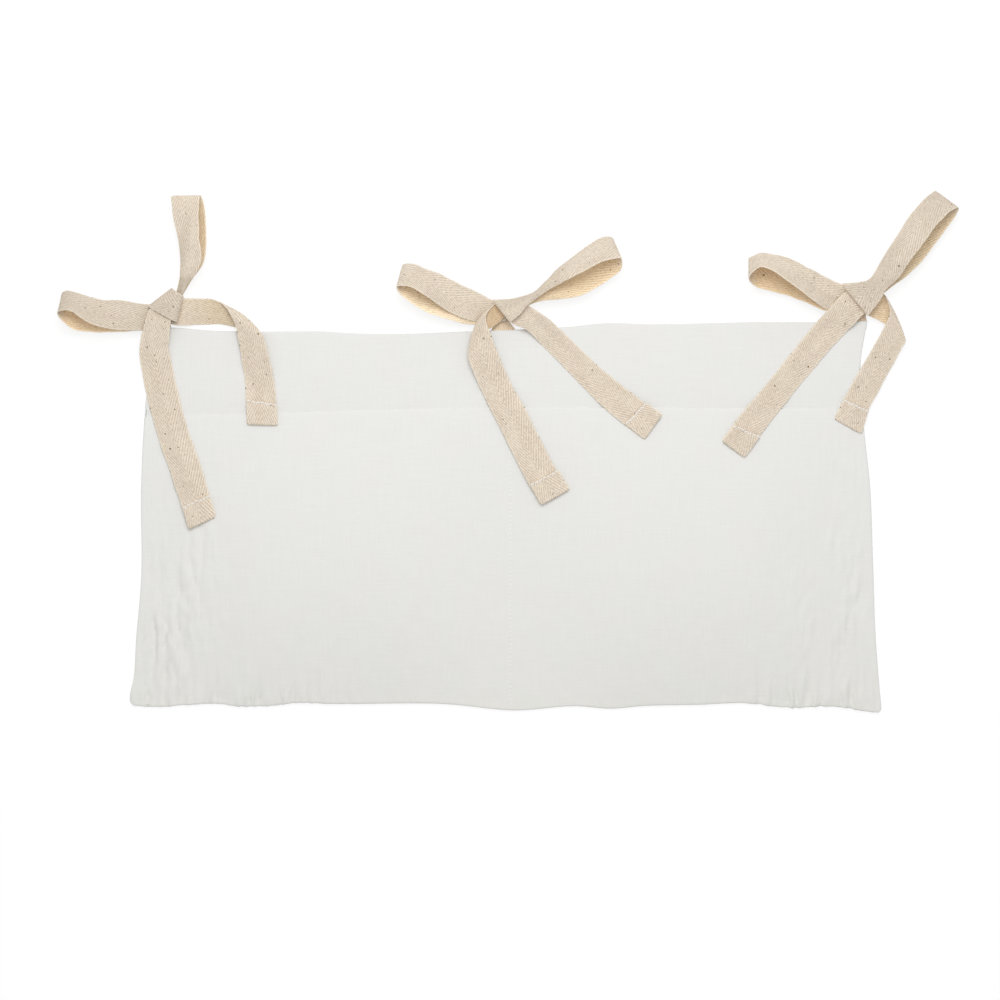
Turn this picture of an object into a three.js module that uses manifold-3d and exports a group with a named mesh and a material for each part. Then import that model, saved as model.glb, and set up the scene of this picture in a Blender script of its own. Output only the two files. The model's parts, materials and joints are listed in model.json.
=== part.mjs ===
// A crib organizer laid flat on its back: a muslin panel with two pockets and three tape bows along its top.
// Millimetres. +X runs along the panel to the right, +Y towards its top edge and +Z out of its front.
// The origin is the middle of the panel's underside.
import * as THREE from 'three';
import { mergeVertices } from 'three/addons/utils/BufferGeometryUtils.js';
import Module from 'manifold-3d';

const wasm = await Module();
wasm.setup();

// Panel
const PANEL_WIDTH = 600;
const PANEL_HEIGHT = 304;
const PANEL_CORNER = 4;
const LINING_THICKNESS = 1.2;
const FACE_THICKNESS = 1.2;
const LAYER_GAP = 0.3;

// Pockets
const POCKET_DEPTH = 237;
const POCKET_THICKNESS = 1.6;
const POCKET_GAPE = 9;
const POCKET_INSET = 1;
const SIDE_EASE = 70;
const BOTTOM_EASE = 90;
const DIVIDER_X = 3;
const DIVIDER_GAP = 0.6;

// Tape
const TAPE_WIDTH = 25;
const TAPE_THICKNESS = 1.2;
const TAPE_GAP = 0.4;
const FOLD_RADIUS = 2.6;
const HEM_LENGTH = 14;

// Knots
const KNOT_RADIUS = 11.5;
const KNOT_HALF_HEIGHT = 5.4;
const KNOT_LIFT = 0.2;
const KNOT_TAPER = 0.24;
const KNOT_SQUARENESS = 0.7;
const WRAP_WIDTH = 18;
const WRAP_RISE = 0.8;
const SLANT_SHARE = 0.55;
const SLANT_TURN = 24;
const ROOT_WIDTH = 17;
const ROOT_TUCK = 12;

// Waves of the cloth's edges, as pairs of a share of the half width, or of the height, and millimetres.
const TOP_WAVE = [[-1, -3], [-0.55, -2.4], [-0.33, -5.2], [-0.05, -2.8], [0.26, 3.2], [1, 4.6]];
const BOTTOM_WAVE = [[-1, 2], [-0.53, 3.6], [-0.12, 2], [0.015, -3], [0.25, -0.6], [0.5, 1.8], [1, -3]];
const MOUTH_WAVE = [[-1, -5], [-0.3, 1], [0.2, 2.5], [1, 1]];
const SIDE_INSET = [[0, 0], [0.36, 7.5], [0.6, 9], [0.81, 14], [0.91, 17], [1, 16]];

// Each bow has its knot's place along the top edge, as a share of the half width, and its stand off that edge.
// A loop has its turn from +X, its length, the gape between its layers, the lean of the tape at tip and root,
// the share of the tape's width left at the root, and the side of its turn that it opens to.
// A straight tail has its middle line from the knot. A folded tail leaves the knot, turns over and runs on.
const BOWS = [
  {
    name: 'left', share: -0.908, stand: 20, wrapTurn: 23,
    loops: [
      { name: 'left', turn: 178, length: 85, gape: 18, leanTip: 50, leanRoot: 14, rootShare: 0.8, opens: 1 },
      { name: 'up', turn: 79, length: 89, gape: 11, leanTip: 22, leanRoot: 26, rootShare: 0.6, opens: -1 },
    ],
    tails: [
      { name: 'long', line: [[0, 0], [-9, -28], [-9, -42], [-2, -76], [12, -120], [30, -173]] },
      { name: 'short', leaves: -12, before: 60, turnsTo: -77, after: 84 },
    ],
  },
  {
    name: 'center', share: 0.012, stand: 17, wrapTurn: 98,
    loops: [
      { name: 'left', turn: 163, length: 93, gape: 19, leanTip: 43, leanRoot: 12, rootShare: 0.8, opens: 1 },
      { name: 'right', turn: 30, length: 97, gape: 19, leanTip: 52, leanRoot: 36, rootShare: 0.45, opens: -1 },
    ],
    tails: [
      { name: 'left', leaves: 213, before: 31, turnsTo: -65, after: 147 },
      { name: 'right', line: [[0, 0], [20, -11], [31, -22], [54, -45], [82, -71], [113, -94]] },
    ],
  },
  {
    name: 'right', share: 0.956, stand: 20, wrapTurn: 120,
    loops: [
      { name: 'left', turn: 166, length: 96, gape: 23, leanTip: 45, leanRoot: 14, rootShare: 0.8, opens: 1 },
      { name: 'up', turn: 49, length: 102, gape: 17, leanTip: 27, leanRoot: 30, rootShare: 0.6, opens: -1 },
    ],
    tails: [
      { name: 'left', line: [[0, 0], [-19, -15], [-41, -40], [-66, -70], [-89, -98], [-106, -121]] },
      { name: 'right', leaves: -35, before: 29, turnsTo: -114, after: 94 },
    ],
  },
];

// Steps of the faceted surfaces
const EDGE_STEPS = 26;
const POCKET_COLUMNS = 22;
const POCKET_ROWS = 16;
const LOOP_STEPS = 34;
const FOLD_STEPS = 6;
const TAPE_STEP = 6;
const KNOT_SIDES = 28;
const KNOT_RINGS = 9;

// Levels, from the floor up
const FACE_BOTTOM = LINING_THICKNESS + LAYER_GAP;
const FACE_TOP = FACE_BOTTOM + FACE_THICKNESS;
const POCKET_BASE = FACE_TOP + LAYER_GAP;
const KNOT_MIDDLE = KNOT_LIFT + WRAP_RISE + KNOT_HALF_HEIGHT;

const MUSLIN = { color: 0xe9e9e6, roughness: 0.95, metalness: 0 };
const TWILL = { color: 0xddcdb9, roughness: 0.9, metalness: 0 };

const { clamp, degToRad, lerp, smoothstep } = THREE.MathUtils;

// Solids: joining and cutting of closed surfaces
function solidOf(geometry) {
  const bare = new THREE.BufferGeometry();
  bare.setAttribute('position', geometry.getAttribute('position'));
  bare.setIndex(geometry.getIndex());
  const merged = mergeVertices(bare, 1e-4);
  const mesh = new wasm.Mesh({
    numProp: 3,
    vertProperties: merged.getAttribute('position').array,
    triVerts: new Uint32Array(merged.getIndex().array),
  });
  return new wasm.Manifold(mesh);
}

function geometryOf(solid) {
  const mesh = solid.getMesh();
  const geometry = new THREE.BufferGeometry();
  geometry.setAttribute('position', new THREE.BufferAttribute(mesh.vertProperties, 3));
  geometry.setIndex(new THREE.BufferAttribute(mesh.triVerts, 1));
  return geometry;
}

function cut(geometry, cutters) {
  let solid = solidOf(geometry);
  for (const cutter of cutters) {
    solid = solid.subtract(solidOf(cutter));
  }
  const pieces = solid.decompose();
  const largest = pieces.reduce((most, piece) => (piece.volume() > most.volume() ? piece : most));
  return geometryOf(largest);
}

function node(name, geometry, look) {
  geometry.computeVertexNormals();
  const mesh = new THREE.Mesh(geometry, new THREE.MeshStandardMaterial(look));
  mesh.name = name;
  return mesh;
}

// The cloth's outline
function wave(pairs) {
  const places = pairs.map((pair) => pair[0]);
  const sizes = pairs.map((pair) => pair[1]);
  const curve = new THREE.CubicInterpolant(places, sizes, 1, [0]);
  return (at) => curve.evaluate(at)[0];
}

const topWave = wave(TOP_WAVE);
const bottomWave = wave(BOTTOM_WAVE);
const mouthWave = wave(MOUTH_WAVE);
const sideInset = wave(SIDE_INSET);

const shareAcross = (x) => x / (PANEL_WIDTH / 2);
const sideX = (y) => PANEL_WIDTH / 2 - sideInset(clamp(y / PANEL_HEIGHT + 0.5, 0, 1));
const topY = (x) => PANEL_HEIGHT / 2 + topWave(shareAcross(x));
const bottomY = (x) => -PANEL_HEIGHT / 2 + bottomWave(shareAcross(x));
const mouthY = (x) => -PANEL_HEIGHT / 2 + POCKET_DEPTH + mouthWave(shareAcross(x));

function panelOutline() {
  const low = sideX(-PANEL_HEIGHT / 2);
  const high = sideX(PANEL_HEIGHT / 2);
  const corner = PANEL_CORNER;
  const points = [];
  for (let i = 0; i <= EDGE_STEPS; i += 1) {
    const x = lerp(-low + corner, low - corner, i / EDGE_STEPS);
    points.push(new THREE.Vector2(x, bottomY(x)));
  }
  for (let i = 0; i <= EDGE_STEPS / 2; i += 1) {
    const y = lerp(bottomY(low) + corner, topY(high) - corner, i / (EDGE_STEPS / 2));
    points.push(new THREE.Vector2(sideX(y), y));
  }
  for (let i = 0; i <= EDGE_STEPS; i += 1) {
    const x = lerp(high - corner, -high + corner, i / EDGE_STEPS);
    points.push(new THREE.Vector2(x, topY(x)));
  }
  for (let i = 0; i <= EDGE_STEPS / 2; i += 1) {
    const y = lerp(topY(-high) - corner, bottomY(-low) + corner, i / (EDGE_STEPS / 2));
    points.push(new THREE.Vector2(-sideX(y), y));
  }
  return new THREE.Shape(points);
}

function panelLayer(thickness, bottom) {
  const layer = new THREE.ExtrudeGeometry(panelOutline(), { depth: thickness, bevelEnabled: false });
  return layer.translate(0, 0, bottom);
}

// The pockets swell from their three sewn sides to the middle of the mouth.
const swell = (share) => 1 - (1 - clamp(share, 0, 1)) ** 2;

function pocketRise(x, y) {
  const fromSeam = Math.min(sideX(y) - Math.abs(x), Math.abs(x - DIVIDER_X));
  const fromBottom = y - bottomY(x);
  return POCKET_GAPE * swell(fromSeam / SIDE_EASE) * swell(fromBottom / BOTTOM_EASE);
}

function pocketPoint(isRight, u, v) {
  const level = lerp(-PANEL_HEIGHT / 2, -PANEL_HEIGHT / 2 + POCKET_DEPTH, v);
  const edge = sideX(level) - POCKET_INSET;
  const x = isRight ? lerp(DIVIDER_X + DIVIDER_GAP / 2, edge, u) : lerp(-edge, DIVIDER_X - DIVIDER_GAP / 2, u);
  const y = lerp(bottomY(x) + POCKET_INSET, mouthY(x), v);
  return new THREE.Vector3(x, y, POCKET_BASE + pocketRise(x, y));
}

// A closed solid from rows of points: each row is a ring round the section, and the ends are capped.
function loft(rings) {
  const around = rings[0].length;
  const positions = rings.flat().flatMap((point) => [point.x, point.y, point.z]);
  const faces = [];
  for (let i = 0; i + 1 < rings.length; i += 1) {
    for (let k = 0; k < around; k += 1) {
      const next = (k + 1) % around;
      const [a, b] = [i * around + k, i * around + next];
      faces.push(a, b, b + around, a, b + around, a + around);
    }
  }
  const last = (rings.length - 1) * around;
  for (let k = 0; k + 1 < around / 2; k += 1) {
    const far = around - 1 - k;
    faces.push(k, far, k + 1, k + 1, far, far - 1);
    faces.push(last + k, last + k + 1, last + far, last + k + 1, last + far - 1, last + far);
  }
  const geometry = new THREE.BufferGeometry();
  geometry.setAttribute('position', new THREE.Float32BufferAttribute(positions, 3));
  geometry.setIndex(faces);
  return geometry;
}

function pocketFront(isRight) {
  const rings = [];
  for (let j = 0; j <= POCKET_ROWS; j += 1) {
    const row = [];
    for (let i = 0; i <= POCKET_COLUMNS; i += 1) {
      row.push(pocketPoint(isRight, i / POCKET_COLUMNS, j / POCKET_ROWS));
    }
    const over = row.map((point) => point.clone().setZ(point.z + POCKET_THICKNESS));
    rings.push([...over, ...row.reverse()]);
  }
  return loft(rings);
}

// What lies under a tape at a place: the floor, the panel or a pocket
function restLevel(x, y) {
  const onPanel = Math.abs(x) < sideX(y) && y < topY(x) && y > bottomY(x);
  if (!onPanel) {
    return 0;
  }
  return y > mouthY(x) ? FACE_TOP : POCKET_BASE + pocketRise(x, y) + POCKET_THICKNESS;
}

// Tapes are pairs of points across the tape, one pair for each step along it.
const plan = (turn) => new THREE.Vector3(Math.cos(degToRad(turn)), Math.sin(degToRad(turn)), 0);
const across = (along) => new THREE.Vector3(-along.y, along.x, 0);

function tapeSolid(pairs, grow = 0, hemLength = 0) {
  const middles = pairs.map((pair) => pair.a.clone().lerp(pair.b, 0.5));
  const end = middles.at(-1);
  const rings = pairs.map((pair, i) => {
    const along = middles[Math.min(i + 1, pairs.length - 1)].clone().sub(middles[Math.max(i - 1, 0)]);
    const side = pair.b.clone().sub(pair.a).normalize();
    const up = side.clone().cross(along).normalize();
    const hem = middles[i].distanceTo(end) < hemLength ? TAPE_THICKNESS : 0;
    const half = TAPE_THICKNESS / 2 + grow;
    const high = up.clone().multiplyScalar(half + (up.z > 0 ? hem : 0));
    const low = up.clone().multiplyScalar(-half - (up.z > 0 ? 0 : hem));
    const a = pair.a.clone().addScaledVector(side, -grow);
    const b = pair.b.clone().addScaledVector(side, grow);
    return [a.clone().add(high), b.clone().add(high), b.clone().add(low), a.clone().add(low)];
  });
  return loft(rings);
}

// Lifts a tape onto whatever lies under it, and down from the height at which it leaves the knot
function layDown(pairs, knot, leaveLevel, flatRun, slope) {
  const levels = pairs.map((pair) => {
    const shares = [0, 0.25, 0.5, 0.75, 1];
    const under = shares.map((share) => pair.a.clone().lerp(pair.b, share).add(knot));
    return Math.max(...under.map((point) => restLevel(point.x, point.y)));
  });
  let run = 0;
  return pairs.map((pair, i) => {
    const middle = pair.a.clone().lerp(pair.b, 0.5);
    const before = pairs[Math.max(i - 1, 0)];
    run += middle.distanceTo(before.a.clone().lerp(before.b, 0.5));
    const near = levels.slice(Math.max(i - 2, 0), i + 3);
    const rest = Math.max(...near) + TAPE_GAP + TAPE_THICKNESS / 2;
    const level = Math.max(rest, leaveLevel - slope * Math.max(run - flatRun, 0));
    return { a: pair.a.clone().setZ(pair.a.z + level), b: pair.b.clone().setZ(pair.b.z + level) };
  });
}

function straightTail(tail, knot) {
  const curve = new THREE.CatmullRomCurve3(tail.line.map(([x, y]) => new THREE.Vector3(x, y, 0)));
  const steps = Math.round(curve.getLength() / TAPE_STEP);
  const pairs = curve.getSpacedPoints(steps).map((point, i) => {
    const half = across(curve.getTangentAt(i / steps)).multiplyScalar(TAPE_WIDTH / 2);
    return { a: point.clone().add(half), b: point.clone().sub(half) };
  });
  return layDown(pairs, knot, KNOT_MIDDLE + 2, 22, 0.3);
}

function foldedTail(tail, knot) {
  const first = plan(tail.leaves);
  const second = plan(tail.turnsTo);
  const crease = first.clone().add(second).normalize();
  const bias = first.clone().cross(crease).z;
  const corner = first.clone().multiplyScalar(tail.before);
  const reach = crease.clone().multiplyScalar(TAPE_WIDTH / 2 / bias);
  const out = first.clone().addScaledVector(crease, -first.dot(crease)).normalize();
  const firstSide = across(first).multiplyScalar(TAPE_WIDTH / 2);
  const secondSide = across(second).multiplyScalar(-TAPE_WIDTH / 2);
  const edges = (middle, side) => ({ a: middle.clone().add(side), b: middle.clone().sub(side) });
  const between = (from, to, share) => ({
    a: from.a.clone().lerp(to.a, share),
    b: from.b.clone().lerp(to.b, share),
  });
  const start = edges(new THREE.Vector3(), firstSide);
  const fold = edges(corner, reach);
  const end = edges(corner.clone().addScaledVector(second, tail.after), secondSide);
  const pairs = [];
  const firstSteps = Math.round(tail.before / TAPE_STEP);
  for (let i = 0; i < firstSteps; i += 1) {
    pairs.push(between(start, fold, i / firstSteps));
  }
  const under = layDown([...pairs, fold], knot, KNOT_MIDDLE - 1, 0, 0.2);
  const foldLevel = under.at(-1).a.z;
  const laid = under.slice(0, -1);
  for (let i = 0; i <= FOLD_STEPS; i += 1) {
    const angle = Math.PI * i / FOLD_STEPS;
    const shift = out.clone().multiplyScalar(FOLD_RADIUS * Math.sin(angle));
    shift.z = foldLevel + FOLD_RADIUS * (1 - Math.cos(angle));
    laid.push({ a: fold.a.clone().add(shift), b: fold.b.clone().add(shift) });
  }
  const runOn = [];
  const secondSteps = Math.round(tail.after / TAPE_STEP);
  for (let i = 1; i <= secondSteps; i += 1) {
    runOn.push(between(fold, end, i / secondSteps));
  }
  return [...laid, ...layDown(runOn, knot, foldLevel + 2 * FOLD_RADIUS, 0, 0.1)];
}

// A loop is a teardrop in a plane that leans with the tape.
const LOOP_PATH = [[0, 0.16], [0.35, 0.72], [0.75, 1], [1, 0], [0.75, -1], [0.35, -0.72], [0, -0.16]];

function tapeLoop(loop) {
  const along = plan(loop.turn);
  const side = across(along).multiplyScalar(loop.opens);
  const curve = new THREE.CatmullRomCurve3(LOOP_PATH.map(([p, q]) => new THREE.Vector3(p, q, 0)));
  return curve.getSpacedPoints(LOOP_STEPS).map((point) => {
    const grow = smoothstep(point.x, 0, 0.6);
    const lean = degToRad(lerp(loop.leanRoot, loop.leanTip, grow));
    const width = TAPE_WIDTH * lerp(loop.rootShare, 1, grow);
    const half = side.clone().multiplyScalar(Math.cos(lean) * width / 2).setZ(Math.sin(lean) * width / 2);
    const rise = side.clone().multiplyScalar(-Math.sin(lean)).setZ(Math.cos(lean));
    const apart = loop.gape / 2 * point.y;
    const onFloor = KNOT_LIFT + TAPE_THICKNESS / 2 + Math.abs(apart) * rise.z + half.z;
    const middle = along.clone().multiplyScalar(loop.length * point.x);
    middle.addScaledVector(rise, apart);
    middle.z += Math.max(KNOT_MIDDLE, onFloor);
    return { a: middle.clone().sub(half), b: middle.clone().add(half) };
  });
}

// A knot is the bundle of tape drawn flat by one turn, and the turn's free edge crosses over it on the slant.
function barrel(grow) {
  const rings = [];
  for (let i = 0; i <= KNOT_RINGS; i += 1) {
    const place = 2 * i / KNOT_RINGS - 1;
    const full = 1 - KNOT_TAPER * Math.abs(place) ** 3;
    const ring = [];
    for (let k = 0; k < KNOT_SIDES; k += 1) {
      const angle = 2 * Math.PI * (k + 0.5) / KNOT_SIDES;
      const bulge = (value) => Math.sign(value) * Math.abs(value) ** KNOT_SQUARENESS;
      const y = (KNOT_RADIUS * full + grow) * bulge(Math.cos(angle));
      const z = (KNOT_HALF_HEIGHT * full + grow) * bulge(Math.sin(angle));
      ring.push(new THREE.Vector3(place * (WRAP_WIDTH / 2 + grow), y, KNOT_MIDDLE + z));
    }
    rings.push(ring);
  }
  return loft(rings);
}

function knotSolid(wrapTurn, grow = 0) {
  const width = WRAP_WIDTH * SLANT_SHARE + 2 * grow;
  const strip = new THREE.BoxGeometry(width, KNOT_RADIUS * 4, KNOT_MIDDLE * 4);
  strip.rotateZ(degToRad(SLANT_TURN));
  const turnOver = solidOf(barrel(WRAP_RISE + grow)).intersect(solidOf(strip));
  return geometryOf(solidOf(barrel(grow)).add(turnOver)).rotateZ(degToRad(wrapTurn));
}

// The ball round a knot that the loops stay clear of, so that they can swing about it
function knotBall(knot) {
  const points = knot.getAttribute('position');
  let reach = 0;
  for (let i = 0; i < points.count; i += 1) {
    reach = Math.max(reach, Math.hypot(points.getX(i), points.getY(i)));
  }
  return new THREE.SphereGeometry(reach + TAPE_GAP, KNOT_SIDES * 2, KNOT_RINGS * 2).translate(0, 0, KNOT_MIDDLE);
}

// The root runs from the knot to the top edge, where it is tucked under the face and sewn.
function rootPairs(knot, stop) {
  const level = LINING_THICKNESS / 2;
  const pair = (y) => ({
    a: new THREE.Vector3(-ROOT_WIDTH / 2, y, level),
    b: new THREE.Vector3(ROOT_WIDTH / 2, y, level),
  });
  return [pair(0), pair(stop)];
}

const organizer = new THREE.Group();
const notches = [];

for (const bow of BOWS) {
  const x = bow.share * PANEL_WIDTH / 2;
  const knot = new THREE.Vector3(x, topY(x) + bow.stand, 0);
  const group = new THREE.Group();
  group.position.copy(knot);
  const knotShape = knotSolid(bow.wrapTurn);
  const knotClear = knotSolid(bow.wrapTurn, TAPE_GAP);
  const swingClear = knotBall(knotShape);
  group.add(node(`${bow.name}_knot`, knotShape, TWILL));
  const root = rootPairs(knot, -bow.stand - ROOT_TUCK);
  group.add(node(`${bow.name}_root`, cut(tapeSolid(root), [knotClear]), TWILL));
  notches.push(tapeSolid(root, LAYER_GAP).translate(knot.x, knot.y, 0));
  const tails = bow.tails.map((tail) => (tail.line ? straightTail(tail, knot) : foldedTail(tail, knot)));
  tails.forEach((pairs, i) => {
    const name = `${bow.name}_tail_${bow.tails[i].name}`;
    group.add(node(name, cut(tapeSolid(pairs, 0, HEM_LENGTH), [knotClear]), TWILL));
  });
  const tailClear = tails.map((pairs) => tapeSolid(pairs, TAPE_GAP));
  for (const loop of bow.loops) {
    const name = `${bow.name}_loop_${loop.name}`;
    group.add(node(name, cut(tapeSolid(tapeLoop(loop)), [swingClear, ...tailClear]), TWILL));
  }
  organizer.add(group);
}

organizer.add(node('back_lining', cut(panelLayer(LINING_THICKNESS, 0), notches), MUSLIN));
organizer.add(node('back_face', panelLayer(FACE_THICKNESS, FACE_BOTTOM), MUSLIN));
organizer.add(node('pocket_left', pocketFront(false), MUSLIN));
organizer.add(node('pocket_right', pocketFront(true), MUSLIN));

export default organizer;
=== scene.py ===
# %% [markdown]
# # A crib organizer of white muslin and twill tape
# The object is a flat cloth panel with two pockets, and three tape bows along its top edge.
# The imported model is loaded first. It holds the real sizes, the bodies and the joints,
# so each cloth and each tape below takes its place from it.

# %% Load the frame
import json
import math

import bpy
import numpy as np
from mathutils import Matrix, Vector, noise


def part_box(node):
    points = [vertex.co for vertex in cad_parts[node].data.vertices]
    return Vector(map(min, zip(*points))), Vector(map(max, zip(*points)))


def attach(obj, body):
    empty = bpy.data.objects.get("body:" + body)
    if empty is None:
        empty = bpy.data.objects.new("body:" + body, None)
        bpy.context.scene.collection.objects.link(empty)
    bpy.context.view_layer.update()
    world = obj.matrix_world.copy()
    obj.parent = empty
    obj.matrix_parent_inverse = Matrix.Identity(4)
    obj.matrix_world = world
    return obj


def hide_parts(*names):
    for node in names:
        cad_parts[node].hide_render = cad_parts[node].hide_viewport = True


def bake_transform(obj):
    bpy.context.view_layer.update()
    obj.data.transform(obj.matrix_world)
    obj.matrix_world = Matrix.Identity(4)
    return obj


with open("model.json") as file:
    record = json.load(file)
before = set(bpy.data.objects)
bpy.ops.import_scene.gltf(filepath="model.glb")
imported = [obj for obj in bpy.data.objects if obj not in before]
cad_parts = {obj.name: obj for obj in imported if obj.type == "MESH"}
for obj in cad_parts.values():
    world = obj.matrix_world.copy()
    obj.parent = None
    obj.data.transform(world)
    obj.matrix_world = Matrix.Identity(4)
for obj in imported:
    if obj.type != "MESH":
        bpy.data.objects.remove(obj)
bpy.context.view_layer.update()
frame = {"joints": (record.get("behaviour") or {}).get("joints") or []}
joints = {joint["name"]: joint for joint in frame["joints"]}
MM = 0.001
bpy.ops.object.select_all(action="DESELECT")

# %% [markdown]
# ## Camera
# The organizer was photographed from straight above, so the camera looks down and needs no turning:
# a new camera already looks along -Z with +Y up. The picture spans 0.8 m of the table.
# A long lens a good way up keeps the raised loops from leaning outwards.

# %% Camera
PICTURE_SPAN = 0.8
PICTURE_MIDDLE = Vector((-0.0052, 0.0140, 0.003))
LENS = 85
SENSOR = 36

camera_data = bpy.data.cameras.new("camera")
camera_data.lens = LENS
camera_data.sensor_width = SENSOR
camera = bpy.data.objects.new("camera", camera_data)
camera.location = PICTURE_MIDDLE + Vector((0, 0, PICTURE_SPAN * LENS / SENSOR))
bpy.context.collection.objects.link(camera)
bpy.context.scene.camera = camera
print("camera height", round(camera.location.z, 3), "m")

# %% [markdown]
# ## Floor and light
# Cloth shows its folds under one broad lamp that stands to one side, with the rest of the room as fill.
# The lamp stands beyond the middle of the top edge, so the folds shade towards the bottom.
# The floor and the sky are white to the camera only, and send a plain level of light to the cloth.
# A brighter room would make the floor white too, but it would wash out the crinkles in the cloth.

# %% Nodes by name
def add_node(tree, kind, inputs=None, **settings):
    made = tree.nodes.new("ShaderNode" + kind)
    for name, value in settings.items():
        setattr(made, name, value)
    for place, value in (inputs or {}).items():
        if isinstance(value, bpy.types.NodeSocket):
            tree.links.new(value, made.inputs[place])
        else:
            made.inputs[place].default_value = value
    return made


def calculate(tree, operation, first, second=0.0):
    return add_node(tree, "Math", {0: first, 1: second}, operation=operation).outputs[0]


def seen_directly(tree):
    path = add_node(tree, "LightPath").outputs
    mirrored = calculate(tree, "MAXIMUM", path["Is Glossy Ray"], path["Is Transmission Ray"])
    return calculate(tree, "MAXIMUM", path["Is Camera Ray"], mirrored)


# %% Sky and lamp
FILL_LEVEL = 0.57
BACKDROP_LEVEL = 0.96
LAMP_POWER = 8.1
LAMP_SIZE = 0.8
LAMP_PLACE = Vector((0, 0.6, 1.2))

world = bpy.data.worlds.new("studio")
world.use_nodes = True
bpy.context.scene.world = world
sky = world.node_tree
sky.nodes.clear()
brightness = {"Value": seen_directly(sky), "To Min": FILL_LEVEL, "To Max": BACKDROP_LEVEL}
level = add_node(sky, "MapRange", brightness)
air = add_node(sky, "Background", {"Color": (1, 1, 1, 1), "Strength": level.outputs[0]})
add_node(sky, "OutputWorld", {"Surface": air.outputs[0]})

lamp_data = bpy.data.lights.new("soft_lamp", "AREA")
lamp_data.size = LAMP_SIZE
lamp_data.energy = LAMP_POWER
lamp = bpy.data.objects.new("soft_lamp", lamp_data)
lamp.location = LAMP_PLACE
lamp.rotation_euler = (-LAMP_PLACE).to_track_quat("-Z", "Y").to_euler()
bpy.context.collection.objects.link(lamp)
print("lamp", LAMP_POWER, "W, fill", FILL_LEVEL)

# %% Floor
FLOOR_SIZE = 60
FLOOR_DROP = 0.4 * MM
FLOOR_WHITENESS = 0.72
FLOOR_GLOW = 1.11
FLOOR_COLOUR = (0.9, 0.9, 0.9, 1)

bpy.ops.mesh.primitive_plane_add(size=FLOOR_SIZE, location=(0, 0, -FLOOR_DROP))
floor = bpy.context.object
floor.name = "floor"
paint = bpy.data.materials.new("white_floor")
paint.use_nodes = True
tree = paint.node_tree
tree.nodes.clear()
matte = add_node(tree, "BsdfDiffuse", {"Color": FLOOR_COLOUR})
glow = add_node(tree, "Emission", {"Color": (1, 1, 1, 1), "Strength": FLOOR_GLOW})
whiteness = calculate(tree, "MULTIPLY", seen_directly(tree), FLOOR_WHITENESS)
mixed = add_node(tree, "MixShader", {0: whiteness, 1: matte.outputs[0], 2: glow.outputs[0]})
add_node(tree, "OutputMaterial", {"Surface": mixed.outputs[0]})
floor.data.materials.append(paint)
print("floor", FLOOR_SIZE, "m wide")

# %% [markdown]
# ## Muslin
# Double gauze is two thin open cotton layers caught together. Its threads are uneven, so it shows faint
# streaks along both threads, and it crinkles a little everywhere. The streaks are noise stretched along
# the cloth's own flat UV map, which is in metres, so the pattern moves with the cloth.
# An image of the weave could do the same, but noise needs no file and doesn't repeat.
# Broad patches are a touch rosy or greenish, and the cloth yellows a little towards the bottom.
# Painted light and shade at the mouths: a value on each point lightens the pocket and darkens the face.

# %% Material start
SHEEN_ROUGHNESS = 0.6
SPECULAR_LEVEL = 0.2


def new_material(name, roughness, sheen):
    material = bpy.data.materials.new(name)
    material.use_nodes = True
    shader = material.node_tree.nodes["Principled BSDF"]
    shader.inputs["Roughness"].default_value = roughness
    shader.inputs["Sheen Weight"].default_value = sheen
    shader.inputs["Sheen Roughness"].default_value = SHEEN_ROUGHNESS
    shader.inputs["Specular IOR Level"].default_value = SPECULAR_LEVEL
    return material, material.node_tree, shader


def stretched_noise(tree, flat, size, detail=2.0):
    scale = (1 / size[0], 1 / size[1], 1)
    placed = add_node(tree, "Mapping", {"Vector": flat, "Scale": scale})
    cloud = add_node(tree, "TexNoise", {"Vector": placed.outputs[0], "Scale": 1.0, "Detail": detail})
    return cloud.outputs["Fac"]


def mix_colours(tree, factor, first, second, blend="MIX"):
    parts = {"Factor": factor, "A": first, "B": second}
    return add_node(tree, "Mix", parts, data_type="RGBA", blend_type=blend).outputs["Result"]


def link_surface(tree, shader, colour, height, strength, depth):
    relief = add_node(tree, "Bump", {"Height": height, "Strength": strength, "Distance": depth})
    tree.links.new(colour, shader.inputs["Base Color"])
    tree.links.new(relief.outputs[0], shader.inputs["Normal"])


# %% Muslin material
MUSLIN_DARK = (0.815, 0.813, 0.790, 1)
MUSLIN_LIGHT = (0.908, 0.906, 0.887, 1)
LOW_CAST = (0.992, 0.986, 0.967, 1)
LOWEST_PLACE = -0.15
ROSY = (1.012, 0.994, 0.992, 1)
GREENISH = (0.988, 1.006, 1.0, 1)
TINGE_PATCH = (40 * MM, 40 * MM)
PAINTED_MOUTH_STRENGTH = 0.012
SLUB_LENGTH = 28 * MM
SLUB_WIDTH = 1.1 * MM
GAUZE_CRINKLE = 3.2 * MM
CRINKLE_DETAIL = 3.0
CRINKLE_SHARE = 1.5
GAUZE_RELIEF = 0.35
GAUZE_DEPTH = 0.35 * MM

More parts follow.
